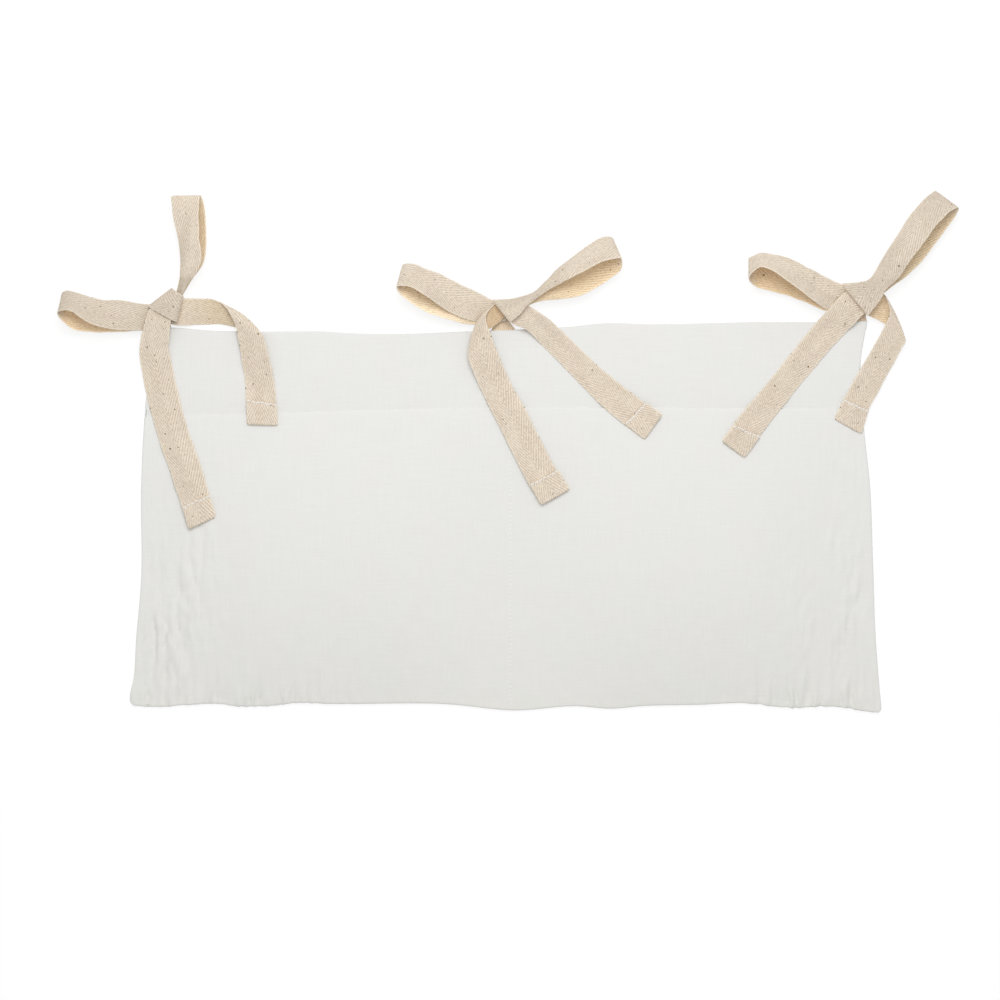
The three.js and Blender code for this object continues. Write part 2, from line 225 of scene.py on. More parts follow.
muslin, tree, shader = new_material("muslin", roughness=0.95, sheen=0.12)
flat = add_node(tree, "UVMap", uv_map="flat").outputs[0]
weft = stretched_noise(tree, flat, (SLUB_LENGTH, SLUB_WIDTH))
warp = stretched_noise(tree, flat, (SLUB_WIDTH, SLUB_LENGTH))
crinkle = stretched_noise(tree, flat, (GAUZE_CRINKLE, 2 * GAUZE_CRINKLE), CRINKLE_DETAIL)
threads = calculate(tree, "MULTIPLY", calculate(tree, "ADD", weft, warp), 0.5)
place = add_node(tree, "SeparateXYZ", {0: add_node(tree, "TexCoord").outputs["Object"]}).outputs["Y"]
low_range = {"Value": place, "From Min": 0.0, "From Max": LOWEST_PLACE}
lowness = add_node(tree, "MapRange", low_range).outputs[0]
cast = mix_colours(tree, lowness, (1, 1, 1, 1), LOW_CAST)
tinge = mix_colours(tree, stretched_noise(tree, flat, TINGE_PATCH), ROSY, GREENISH)
# Painted highlight below the pocket mouths and painted shade above them, from a value on each point.
mouth_shading_value = add_node(tree, "Attribute", attribute_name="layers").outputs["Fac"]
mouth_shading_gain = calculate(tree, "ADD", calculate(tree, "MULTIPLY", mouth_shading_value, PAINTED_MOUTH_STRENGTH), 1.0)
coloured = mix_colours(tree, threads, MUSLIN_DARK, MUSLIN_LIGHT)
for factor in (cast, tinge, mouth_shading_gain):
    coloured = mix_colours(tree, 1.0, coloured, factor, "MULTIPLY")
height = calculate(tree, "ADD", threads, calculate(tree, "MULTIPLY", crinkle, CRINKLE_SHARE))
link_surface(tree, shader, coloured, height, GAUZE_RELIEF, GAUZE_DEPTH)
print("material", muslin.name)

# %% [markdown]
# ## Twill tape
# The ties are undyed cotton tape in a herringbone twill: slanting ribs that meet in a point along the
# middle of the tape. Bits of seed coat are left in undyed cotton and show as small brown flecks.
# The ribs are a sine of the place along the tape plus the distance from its middle line.
# The flecks are the middles of a few cells of a Voronoi pattern. The selvedge, the woven edge, is paler,
# partly its own colour and partly a painted highlight on its shaded side.
# A colour on each point holds painted light and shade: bounce light in loops, shade under folds.
# Yarns modelled one by one would be about as fine as a pixel, so colour and bump stand for them.

# %% Tape material
TAPE_WIDTH = 25 * MM
RIB_PITCH = 4.4 * MM
RIB_SLANT = 2.2
RIB_WANDER = 0.55 * RIB_PITCH
RIB_SHARE = 0.4
FIBRE = (0.75 * MM, 2.2 * MM)
FIBRE_RANGE = (0.25, 0.75)
FIBRE_SHARE = 0.55
CLOUD = (9 * MM, 30 * MM)
CLOUD_SHARE = 0.4
SELVEDGE_START = 10.8 * MM
SELVEDGE_PALENESS_AND_HIGHLIGHT = 0.3
FLECK_SPACING = 6.5 * MM
FLECK_SHARE = 0.16
FLECK_SIZES = (0.06, 0.12)
FAINTEST_FLECK = 0.35
TAPE_TINGE_PATCH = (14 * MM, 20 * MM)
TAPE_RELIEF = 0.8
TAPE_RELIEF_DEPTH = 0.5 * MM
RIB_DARK = (0.44, 0.335, 0.245, 1)
RIB_LIGHT = (1.0, 0.89, 0.765, 1)
PINKISH = (1.0, 0.975, 0.965, 1)
YELLOWISH = (0.985, 1.0, 0.94, 1)
FLECK_COLOUR = (0.16, 0.095, 0.045, 1)

twill, tree, shader = new_material("twill_tape", roughness=0.9, sheen=0.1)
flat = add_node(tree, "UVMap", uv_map="flat").outputs[0]
place = add_node(tree, "SeparateXYZ", {0: flat}).outputs
from_middle = calculate(tree, "ABSOLUTE", place["X"])
cloud = stretched_noise(tree, flat, CLOUD)
along = calculate(tree, "ADD", place["Y"], calculate(tree, "MULTIPLY", from_middle, RIB_SLANT))
on_rib = add_node(tree, "CombineXYZ", {0: place["X"], 1: along}).outputs[0]
fibre_noise = stretched_noise(tree, on_rib, FIBRE)
fibre_range = {"Value": fibre_noise, "From Min": FIBRE_RANGE[0], "From Max": FIBRE_RANGE[1]}
fibre = add_node(tree, "MapRange", fibre_range).outputs[0]
wander = calculate(tree, "MULTIPLY", calculate(tree, "SUBTRACT", fibre, 0.5), RIB_WANDER)
phase = calculate(tree, "MULTIPLY", calculate(tree, "ADD", along, wander), 2 * math.pi / RIB_PITCH)
rib = add_node(tree, "MapRange", {"Value": calculate(tree, "SINE", phase), "From Min": -1.0}).outputs[0]
# The pale selvedge is partly the woven edge's own colour and partly a painted highlight on its shaded side.
edge_range = {"Value": from_middle, "From Min": SELVEDGE_START, "From Max": TAPE_WIDTH / 2}
pale_edge_and_highlight = add_node(tree, "MapRange", edge_range).outputs[0]
weave = 0.0
parts = [(fibre, FIBRE_SHARE), (cloud, CLOUD_SHARE), (pale_edge_and_highlight, SELVEDGE_PALENESS_AND_HIGHLIGHT), (rib, RIB_SHARE)]
for part, share in parts:
    weave = calculate(tree, "ADD", calculate(tree, "MULTIPLY", part, share), weave)
cast = mix_colours(tree, stretched_noise(tree, flat, TAPE_TINGE_PATCH), PINKISH, YELLOWISH)
cells = add_node(tree, "TexVoronoi", {"Vector": flat, "Scale": 1 / FLECK_SPACING}, voronoi_dimensions="2D")
luck = add_node(tree, "SeparateColor", {0: cells.outputs["Color"]}).outputs
chosen = calculate(tree, "LESS_THAN", luck["Red"], FLECK_SHARE)
fleck_range = {"Value": luck["Green"], "To Min": FLECK_SIZES[0], "To Max": FLECK_SIZES[1]}
size = add_node(tree, "MapRange", fleck_range).outputs[0]
dot = calculate(tree, "MULTIPLY", calculate(tree, "LESS_THAN", cells.outputs["Distance"], size), chosen)
strength = add_node(tree, "MapRange", {"Value": luck["Blue"], "To Min": FAINTEST_FLECK}).outputs[0]
faint = calculate(tree, "MULTIPLY", dot, strength)
coloured = mix_colours(tree, faint, mix_colours(tree, weave, RIB_DARK, RIB_LIGHT), FLECK_COLOUR)
# Painted light and shade, read from a colour on each point.
warmth = add_node(tree, "Attribute", attribute_name="warmth").outputs["Color"]
for factor in (cast, warmth):
    coloured = mix_colours(tree, 1.0, coloured, factor, "MULTIPLY")
link_surface(tree, shader, coloured, weave, TAPE_RELIEF, TAPE_RELIEF_DEPTH)
print("material", twill.name)

# %% [markdown]
# ## Thread
# The hems and the middle seam are sewn with white thread. Fine noise stands for its twist,
# because strands modelled one by one would be too small to show.

# %% Thread materials
PLY_SCALE = 2500.0
PLY_RELIEF = 0.5
PLY_DEPTH = 0.1 * MM


def thread_material(name, dark, light):
    material, tree, shader = new_material(name, roughness=0.7, sheen=0.1)
    place = add_node(tree, "TexCoord").outputs["Object"]
    ply = add_node(tree, "TexNoise", {"Vector": place, "Scale": PLY_SCALE}).outputs["Fac"]
    link_surface(tree, shader, mix_colours(tree, ply, dark, light), ply, PLY_RELIEF, PLY_DEPTH)
    print("material", name)
    return material


white_thread = thread_material("white_thread", (0.88, 0.875, 0.86, 1), (0.97, 0.965, 0.95, 1))
cloth_thread = thread_material("cloth_thread", (0.86, 0.855, 0.83, 1), (0.95, 0.945, 0.925, 1))

# %% [markdown]
# ## The outline of the cloth
# The panel was sewn inside out and turned, so its edges are soft and wander by a few millimetres.
# Each edge is a smooth curve through a few measured places, given as pairs: a share of the panel
# and a size in millimetres. A rectangle with random waves would be simpler, but its edges would wander
# in other places than the real ones.

# %% Outline
PANEL_HALF_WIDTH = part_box("back_face")[1].x
PANEL_HEIGHT = 304 * MM
POCKET_DEPTH = 237 * MM
HALF_DIVIDER_GAP = 0.3 * MM
DIVIDER_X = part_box("pocket_left")[1].x + HALF_DIVIDER_GAP

TOP_EDGE = [
    [-1, 1], [-0.89, 0], [-0.8, -2.2], [-0.6, -3.1], [-0.5, -2.8], [-0.42, -4.4], [-0.33, -5.1],
    [-0.08, -2.8], [0.18, 1], [0.26, 3.4], [0.31, 3.5], [0.36, 2.8], [0.44, 2.9], [0.65, 4.3], [0.87, 4.4],
    [1, 6],
]
BOTTOM_EDGE = [
    [-1, 1.5], [-0.94, 0.3], [-0.87, 1.5], [-0.78, 3], [-0.72, 1], [-0.67, 0.6], [-0.62, 1.5], [-0.57, 3.4],
    [-0.47, 2.8], [-0.15, 2.4], [0.02, -2.4], [0.19, 1], [0.28, -1], [0.36, 1], [0.5, 2], [0.67, 2.6],
    [0.72, 0.4], [0.79, -0.4], [0.84, 1], [0.92, -1.2], [0.965, -3.6], [1, -4.4],
]
MOUTH_EDGE = [[-1, -5], [-0.3, 1], [0.2, 2.5], [1, 1]]
LEFT_INSET = [
    [0, -1.3], [0.03, -1.3], [0.065, 1], [0.18, 3.5], [0.34, 7.5], [0.6, 7.6], [0.8, 11], [0.92, 16],
    [1, 18],
]
RIGHT_INSET = [
    [0, -0.4], [0.08, 1.8], [0.18, 4.2], [0.39, 6.6], [0.6, 9.4], [0.72, 13.4], [0.9, 16.4], [1, 11],
]
CORNER_ROUND = 4.5 * MM


def wave(pairs):
    places, sizes = np.array(pairs, float).T
    # Each gap is a cubic that takes the size and the slope at both of its ends, so there are no kinks.
    slopes = np.gradient(sizes, places)

    def at(place):
        place = np.clip(place, places[0], places[-1])
        i = np.clip(np.searchsorted(places, place) - 1, 0, len(places) - 2)
        gap = places[i + 1] - places[i]
        t = (place - places[i]) / gap
        start = (1 + 2 * t) * (1 - t) ** 2 * sizes[i] + t * (1 - t) ** 2 * gap * slopes[i]
        stop = t ** 2 * (3 - 2 * t) * sizes[i + 1] - t ** 2 * (1 - t) * gap * slopes[i + 1]
        return (start + stop) * MM

    return at


top_wave, bottom_wave, mouth_wave = wave(TOP_EDGE), wave(BOTTOM_EDGE), wave(MOUTH_EDGE)
left_inset, right_inset = wave(LEFT_INSET), wave(RIGHT_INSET)


def corner_cut(y):
    risen = np.clip((y + PANEL_HEIGHT / 2) / CORNER_ROUND, 0, 1)
    return CORNER_ROUND * (1 - np.sqrt(1 - (1 - risen) ** 2))


def left_x(y):
    return -PANEL_HALF_WIDTH + left_inset(y / PANEL_HEIGHT + 0.5) + corner_cut(y)


def right_x(y):
    return PANEL_HALF_WIDTH - right_inset(y / PANEL_HEIGHT + 0.5) - corner_cut(y)


def top_y(x):
    return PANEL_HEIGHT / 2 + top_wave(x / PANEL_HALF_WIDTH)


def bottom_y(x):
    return -PANEL_HEIGHT / 2 + bottom_wave(x / PANEL_HALF_WIDTH) + scallop(x)


def mouth_y(x):
    return -PANEL_HEIGHT / 2 + POCKET_DEPTH + mouth_wave(x / PANEL_HALF_WIDTH)


print("panel", round(2 * PANEL_HALF_WIDTH, 3), "by", PANEL_HEIGHT, "m")

# %% [markdown]
# ## Crinkles and gathers
# The bottom seam draws the cloth into short puckers near both corners, and the sides carry long upright
# crinkles. Noise gives their random places: it is squeezed across a crinkle and stretched along it.
# A cloth simulation could gather the cloth too, but noise is easier to place and to repeat.

# %% Crinkles
GATHERS = [
    [-1, 0.5], [-0.88, 0.7], [-0.72, 1], [-0.55, 0.85], [-0.42, 0.35],
    [0, 0.2], [0.55, 0.3], [0.72, 0.9], [0.9, 1], [1, 0.5],
]
GATHER_WIDTH = 3.6 * MM
GATHER_LENGTH = 13 * MM
GATHER_HEIGHT = 6 * MM
SEWN_SHARE = 0.3
SEWN_EASE = 7 * MM
SCALLOP = 0.9
SIDE_CRINKLES = [(2.8 * MM, 11 * MM, 1.5 * MM), (5.0 * MM, 30 * MM, 2.3 * MM)]
SIDE_CRINKLE_REACH = 130 * MM
SIDE_CRINKLE_FADE = 1.5
SIDE_SEAM_EASE = 12 * MM
HIGH_SIDE_SHARE = 0.2
LOW_START = 40 * MM
LOW_REACH = 150 * MM
PATCH = (24 * MM, 55 * MM)
PATCH_MEAN = 0.7
PATCH_SWING = 1.6
PATCH_RANGE = (0.1, 1.6)
SIDE_DIFFERENCE = 0.1
ALL_OVER_CRINKLE = (7 * MM, 12 * MM)
ALL_OVER_HEIGHT = 0.26 * MM
HIGH_ALL_OVER_SHARE = 0.35
SOFT_WAVE = (45 * MM, 60 * MM)
SOFT_WAVE_HEIGHT = 0.5 * MM
SEEDS = dict(gather=3.7, side=8.1, patch=11.3, all_over=1.3, soft=5.5)

gather_share = wave(GATHERS)


def ripple(x, y, size, seed):
    x, y = np.broadcast_arrays(x, y)
    places = zip(np.ravel(x) / size[0], np.ravel(y) / size[1])
    return np.array([noise.noise(Vector((a, b, seed))) for a, b in places]).reshape(np.shape(x))


def gather(x, rise=0.0):
    strength = gather_share(x / PANEL_HALF_WIDTH) / MM
    return strength * ripple(x, rise, (GATHER_WIDTH, 3 * GATHER_LENGTH), SEEDS["gather"])


def scallop(x):
    return -SCALLOP * MM * gather(x)


def ease(share):
    share = np.clip(share, 0, 1)
    return share * share * (3 - 2 * share)


def at_least(share, amount):
    return share + (1 - share) * amount


def crinkles(x, y):
    from_bottom = np.maximum(y - bottom_y(x), 0)
    from_side = np.minimum(x - left_x(y), right_x(y) - x)
    sewn = at_least(SEWN_SHARE, ease(from_bottom / SEWN_EASE))
    puckers = GATHER_HEIGHT * sewn * gather(x, from_bottom) * np.exp(-from_bottom / GATHER_LENGTH)
    low = 1 - ease((from_bottom - LOW_START) / LOW_REACH)
    inward = (1 - ease(from_side / SIDE_CRINKLE_REACH)) ** SIDE_CRINKLE_FADE
    near_side = ease(from_side / SIDE_SEAM_EASE) * inward * at_least(HIGH_SIDE_SHARE, low)
    patch = np.clip(PATCH_MEAN + PATCH_SWING * ripple(x, y, PATCH, SEEDS["patch"]), *PATCH_RANGE)
    upright = sum(
        height * ripple(x, y, (width, length), SEEDS["side"] + width / MM)
        for width, length, height in SIDE_CRINKLES
    )
    upright = upright * near_side * patch * (1 - SIDE_DIFFERENCE * np.sign(x))
    all_over = ALL_OVER_HEIGHT * at_least(HIGH_ALL_OVER_SHARE, low)
    all_over = all_over * ripple(x, y, ALL_OVER_CRINKLE, SEEDS["all_over"])
    soft = SOFT_WAVE_HEIGHT * ripple(x, y, SOFT_WAVE, SEEDS["soft"])
    return puckers + upright + all_over + soft


print("gathers", GATHER_HEIGHT / MM, "mm high at most, along the bottom seam")

# %% [markdown]
# ## Height of the cloth
# The pockets lie slack on the panel. Each swells from its three sewn sides to the middle of its mouth,
# and the folded edge of the mouth rolls down to the panel. The cloth could be sculpted, but as a formula
# it can also tell the tapes and the stitches how high it lies under them.

# %% Height
FACE_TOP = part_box("back_face")[1].z
POCKET_SEAM_RISE = 1.2 * MM
POCKET_SEAM_TOP = FACE_TOP + POCKET_SEAM_RISE
POCKET_GAPE = 8 * MM
SIDE_EASE = 110 * MM
SWELL = [
    [0, 0], [0.08, 0.3], [0.2, 0.66], [0.35, 0.95], [0.45, 1], [0.6, 0.88], [0.8, 0.48], [0.92, 0.18],
    [1, 0.04],
]
MOUTH_ROUND = 2.4 * MM
FACE_EASE = 10 * MM
FACE_EASE_AHEAD = 1.2
FACE_LIFT = (0.1 * MM, 0.4 * MM)
FACE_CRINKLE = (0.2, 0.4)

swell = wave(SWELL)


def pocket_top(x, y):
    from_side = np.minimum(x - left_x(y), right_x(y) - x)
    from_seam = np.minimum(from_side, np.abs(x - DIVIDER_X))
    risen = (y - bottom_y(x)) / (mouth_y(x) - bottom_y(x))
    slack = POCKET_GAPE * ease(from_seam / SIDE_EASE) * swell(risen) / MM
    inside = np.clip((mouth_y(x) - y) / MOUTH_ROUND, 0, 1)
    return POCKET_SEAM_TOP + slack * np.sqrt(1 - (1 - inside) ** 2) + crinkles(x, y)


def face_top(x, y):
    shown = ease((y - mouth_y(x)) / FACE_EASE + FACE_EASE_AHEAD)
    lift = FACE_LIFT[0] + FACE_LIFT[1] * shown
    return FACE_TOP + lift + (FACE_CRINKLE[0] + FACE_CRINKLE[1] * shown) * crinkles(x, y)


def rest_level(x, y):
    if not (left_x(y) < x < right_x(y) and bottom_y(x) < y < top_y(x)):
        return 0.0
    return float(pocket_top(x, y) if y < mouth_y(x) else face_top(x, y))


print("pockets swell by up to", round(POCKET_GAPE / MM, 1), "mm")

# %% [markdown]
# ## Sheets of cloth
# A sheet is a grid of points, denser at its edges, where it turns down over the seam.
# The grid is made by code because every point has its own height, and Solidify then gives it thickness.

# %% Sheet helper
EDGE_ROUND = 1.2 * MM
EDGE_POINTS = 6
EDGE_STEPS = EDGE_ROUND * (1 - np.cos(np.linspace(0, math.pi / 2, EDGE_POINTS)))


def spaced(length, step, dense_start, dense_stop):
    first = EDGE_STEPS if dense_start else np.array([0.0])
    last = length - EDGE_STEPS[::-1] if dense_stop else np.array([length])
    count = max(int((last[0] - first[-1]) / step), 1)
    inner = np.linspace(first[-1], last[0], count + 1)[1:-1]
    return np.concatenate([first, inner, last]) / length


def rolled(distance):
    inside = np.clip(distance / EDGE_ROUND, 0, 1)
    return np.sqrt(1 - (1 - inside) ** 2)


def grid_mesh(name, points, flat):
    rows, columns = points.shape[:2]
    corner = np.arange(rows * columns).reshape(rows, columns)
    faces = np.stack([corner[:-1, :-1], corner[:-1, 1:], corner[1:, 1:], corner[1:, :-1]], -1)
    mesh = bpy.data.meshes.new(name)
    mesh.from_pydata(points.reshape(-1, 3).tolist(), [], faces.reshape(-1, 4).tolist())
    layer = mesh.uv_layers.new(name="flat")
    corners = np.zeros(len(mesh.loops), np.int32)
    mesh.loops.foreach_get("vertex_index", corners)
    layer.data.foreach_set("uv", flat.reshape(-1, 2)[corners].astype(np.float32).ravel())
    made = bpy.data.objects.new(name, mesh)
    bpy.context.collection.objects.link(made)
    return made


def apply_modifier(piece, kind, **settings):
    bpy.ops.object.select_all(action="DESELECT")
    piece.select_set(True)
    bpy.context.view_layer.objects.active = piece
    modifier = piece.modifiers.new(kind.lower(), kind)
    for name, value in settings.items():
        setattr(modifier, name, value)
    bpy.ops.object.modifier_apply(modifier=modifier.name)


def mark_painted_mouth_shading(piece, layers):
    mark = piece.data.attributes.new("layers", "FLOAT", "POINT")
    mark.data.foreach_set("value", np.ravel(layers).astype(np.float32))


def smooth(piece, material):
    piece.data.materials.append(material)
    piece.data.polygons.foreach_set("use_smooth", [True] * len(piece.data.polygons))


# %% [markdown]
# ## Back panel
# The panel is two cloths, a lining below and a face above, sewn round the edge and turned.
# Both turn towards each other at the rim. One thick slab would be simpler, but it would show no seam
# at the edge. The face draws in a little under the pockets, which cover its edge.

# %% Back panel
BACK_STEP = 3 * MM
LINING_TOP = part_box("back_lining")[1].z
RIM_LEVEL = (LINING_TOP + FACE_TOP) / 2
BACK_CLOTH = 0.8 * MM
FACE_TUCK = 1.4 * MM
LINING_TUCK = 0.3 * MM
LINING_LEVEL = 0.1 * MM
TUCK_EASE = 4 * MM
MOUTH_SHADE = 10 * MM


def panel_grid(tuck):
    across = spaced(2 * PANEL_HALF_WIDTH, BACK_STEP, True, True)
    upward = spaced(PANEL_HEIGHT, BACK_STEP, True, True)
    u, v = np.meshgrid(across, upward)
    level = (v - 0.5) * PANEL_HEIGHT
    hidden = tuck * (1 - ease((level - mouth_y(0)) / TUCK_EASE + 0.5))
    left, right = left_x(level) + hidden, right_x(level) - hidden
    x = left + (right - left) * u
    low = bottom_y(x) + tuck
    y = low + (top_y(x) - low) * v
    rim = np.minimum(np.minimum(x - left, right - x), np.minimum(y - low, top_y(x) - y))
    return x, y, rolled(rim)


def back_sheet(name, inner, tuck, up):
    x, y, roll = panel_grid(tuck)
    z = RIM_LEVEL + (inner(x, y) - RIM_LEVEL) * roll
    points = np.stack([x, y, z], -1)
    sheet = grid_mesh(name, points, points[..., :2])
    # Painted shade: the cloth darkens along the line of the pocket mouth.
    mark_painted_mouth_shading(sheet, -np.exp(-np.abs(y - mouth_y(x)) / MOUTH_SHADE))
    apply_modifier(sheet, "SOLIDIFY", thickness=BACK_CLOTH, offset=-1 if up else 1)
    smooth(sheet, muslin)
    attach(sheet, "back")
    return sheet


def lining_bottom(x, y):
    return np.full(np.shape(x), LINING_LEVEL)


lining = back_sheet("lining_cloth", lining_bottom, LINING_TUCK, False)
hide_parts("back_lining")
face = back_sheet("face_cloth", face_top, FACE_TUCK, True)
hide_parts("back_face")
print("back panel of", len(lining.data.polygons) + len(face.data.polygons), "faces")

# %% [markdown]
# ## Pockets
# One pocket panel is sewn to the back at both sides, along the bottom and up the middle, which makes
# two pockets. Each pocket is made as two halves that meet along its middle line. Where the halves meet
# they share their points and normals: an extra column past the middle gives the normals and is then dropped.

# %% Pocket halves
POCKET_STEP = 1.7 * MM
POCKET_CLOTH = 1.0 * MM
SEAM_DIP = 0.3 * MM
SEAM_DIP_WIDTH = 2 * MM
HEM_FADE = 20 * MM


def pocket_half(name, is_left, is_outer):
    upward = spaced(POCKET_DEPTH, POCKET_STEP, True, True)
    across = spaced(PANEL_HALF_WIDTH / 2, POCKET_STEP, True, False)
    across = np.append(across, 2 - across[-2])
    u, v = np.meshgrid(across, upward)
    level = -PANEL_HEIGHT / 2 + v * POCKET_DEPTH
    side = left_x(level) if is_left else right_x(level)
    middle = (side + DIVIDER_X) / 2
    seam = side if is_outer else np.full(np.shape(side), DIVIDER_X)
    x = seam + (middle - seam) * u
    y = bottom_y(x) + (mouth_y(x) - bottom_y(x)) * v
    inner = pocket_top(x, y)
    roll = rolled(y - bottom_y(x))
    roll = np.minimum(roll, rolled(np.abs(x - seam))) if is_outer else roll
    sewn = inner - SEAM_DIP * np.exp(-np.abs(x - DIVIDER_X) / SEAM_DIP_WIDTH)
    z = RIM_LEVEL + (sewn - RIM_LEVEL) * roll
    points = np.stack([x, y, z], -1)
    normals = np.cross(np.gradient(points, axis=1), np.gradient(points, axis=0))
    normals *= np.sign(normals[..., 2:]) / np.linalg.norm(normals, axis=-1, keepdims=True)
    points, normals = points[:, :-1], normals[:, :-1]
    # A normal of zero is left to Blender, so only the column in the middle gets its own.
    normals[:, :-1] = 0
    if is_left != is_outer:
        points, normals = points[:, ::-1], normals[:, ::-1]
    half = grid_mesh(name, points, points[..., :2])
    # Painted highlight: the pocket lightens towards its mouth, whose rolled edge faces the lamp.
    mark_painted_mouth_shading(half, np.exp(-(mouth_y(points[..., 0]) - points[..., 1]) / HEM_FADE))
    apply_modifier(half, "SOLIDIFY", thickness=POCKET_CLOTH, offset=-1)
    smooth(half, muslin)
    top = normals.reshape(-1, 3)
    half.data.normals_split_custom_set_from_vertices(np.vstack([top, -top]).tolist())
    return half


for side_name, is_left in (("left", True), ("right", False)):
    side_x = float(left_x(0) if is_left else right_x(0))
    for half_name, is_outer in (("outer", True), ("inner", False)):
        half = pocket_half(f"{side_name}_pocket_{half_name}_half", is_left, is_outer)
        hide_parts(f"pocket_{side_name}")
        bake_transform(half)
        print(half.name, len(half.data.polygons), "faces")

# %% [markdown]
# ## Tape as a ribbon
# Each tape is a ribbon: pairs of points across the tape, one pair for each step along it.
# A smooth curve through a few pairs gives the steps. A crown bends the tape across its width where it is
# gathered, and small waves keep its edges from looking like card. Solidify gives it its thickness,
# and one Subdivision rounds it. A curve with a flat bevel could make tape too, but here each edge
# needs a path of its own.
# The UV map is the flat tape in metres, each edge with its own length, so the weave turns with every fold.

# %% Ribbon helper
TAPE_THICKNESS = 1.0 * MM
RIBBON_STEP = 2 * MM
RIBBON_COLUMNS = 10
EDGE_WAVE = (9 * MM, 1.0)
EDGE_WAVE_SIZE = 0.45 * MM
EDGE_SEEDS = (0.3, 7.9)
EDGE_LIFT = 1.2
EDGE_LIFT_SHIFT = 4
CURVE_STEPS = 24
TAPE_START_STEP = 0.413
ribbon_count = 0


def along_curve(stations, step):
    stations = np.array(stations, float)
    ends = np.vstack([2 * stations[0] - stations[1], stations, 2 * stations[-1] - stations[-2]])
    t = np.linspace(0, 1, CURVE_STEPS, endpoint=False)[:, None]
    runs = []
    # The run between two stations is a cubic that heeds the stations before and after them too.
    for p0, p1, p2, p3 in zip(ends, ends[1:], ends[2:], ends[3:]):
        bend = 2 * p1 + (p2 - p0) * t + (2 * p0 - 5 * p1 + 4 * p2 - p3) * t ** 2
        runs.append((bend + (3 * p1 - p0 - 3 * p2 + p3) * t ** 3) / 2)
    return evenly(np.vstack(runs + [stations[-1:]]), step)


def run_along(points):
    return np.concatenate([[0], np.cumsum(np.linalg.norm(np.diff(points, axis=0), axis=1))])


def evenly(pairs, step):
    run = run_along((pairs[:, :3] + pairs[:, 3:6]) / 2)
    wanted = np.linspace(0, run[-1], max(int(round(run[-1] / step)), 2) + 1)
    return np.stack([np.interp(wanted, run, column) for column in pairs.T], -1)


def ribbon(name, pairs, crown=0.0, fold=0.0, inside=0.0, tint=(1, 1, 1), painted_shade=1.0):
    global ribbon_count
    ribbon_count += 1
    a, b = pairs[:, :3], pairs[:, 3:6]
    run = run_along((a + b) / 2)
    side = (b - a) / np.linalg.norm(b - a, axis=1, keepdims=True)
    up = np.cross(np.gradient((a + b) / 2, axis=0), -side)
    up /= np.linalg.norm(up, axis=1, keepdims=True)
    for edge, sign, seed in zip((a, b), (-1, 1), EDGE_SEEDS):
        edge_wave = EDGE_WAVE_SIZE * ripple(run, ribbon_count, EDGE_WAVE, seed)[:, None]
        edge += side * sign * edge_wave + up * EDGE_LIFT * np.roll(edge_wave, EDGE_LIFT_SHIFT)
    share = np.linspace(0, 1, RIBBON_COLUMNS + 1)
    points = a[:, None] + (b - a)[:, None] * share[None, :, None]
    bulge = up * np.broadcast_to(crown, len(pairs))[:, None] + fold
    points = points + bulge[:, None] * (1 - (2 * share - 1) ** 2)[None, :, None]
    along = run_along(a)[:, None] * (1 - share) + run_along(b)[:, None] * share
    along = along + TAPE_START_STEP * ribbon_count
    flat = np.stack(np.broadcast_arrays((share - 0.5)[None] * TAPE_WIDTH, along), -1)
    tape = grid_mesh(name, points, flat)
    # Painted light and shade: one gain on the whole tape, turning into the painted tint where inside is 1.
    warmth = painted_shade + np.broadcast_to(inside, len(pairs))[:, None] * (np.array(tint) - painted_shade)
    warmth = np.repeat(warmth, RIBBON_COLUMNS + 1, axis=0)
    apply_modifier(tape, "SOLIDIFY", thickness=TAPE_THICKNESS, offset=0)
    # Solidify makes two sheets of points: the upper takes the painted light, the lower only the painted
    # shade.
    levels = np.array([vertex.co.z for vertex in tape.data.vertices]).reshape(2, -1)
    upper_side = levels > points[..., 2].ravel()
    colours = np.ones((2, len(warmth), 4), np.float32)
    colours[..., :3] = np.where(upper_side[..., None], warmth, painted_shade)
    layer = tape.data.attributes.new("warmth", "FLOAT_COLOR", "POINT")
    layer.data.foreach_set("color", colours.ravel())
    apply_modifier(tape, "SUBSURF", levels=1, render_levels=1)
    smooth(tape, twill)
    return tape, (run[-1], float(np.mean(np.linalg.norm(b - a, axis=1))))
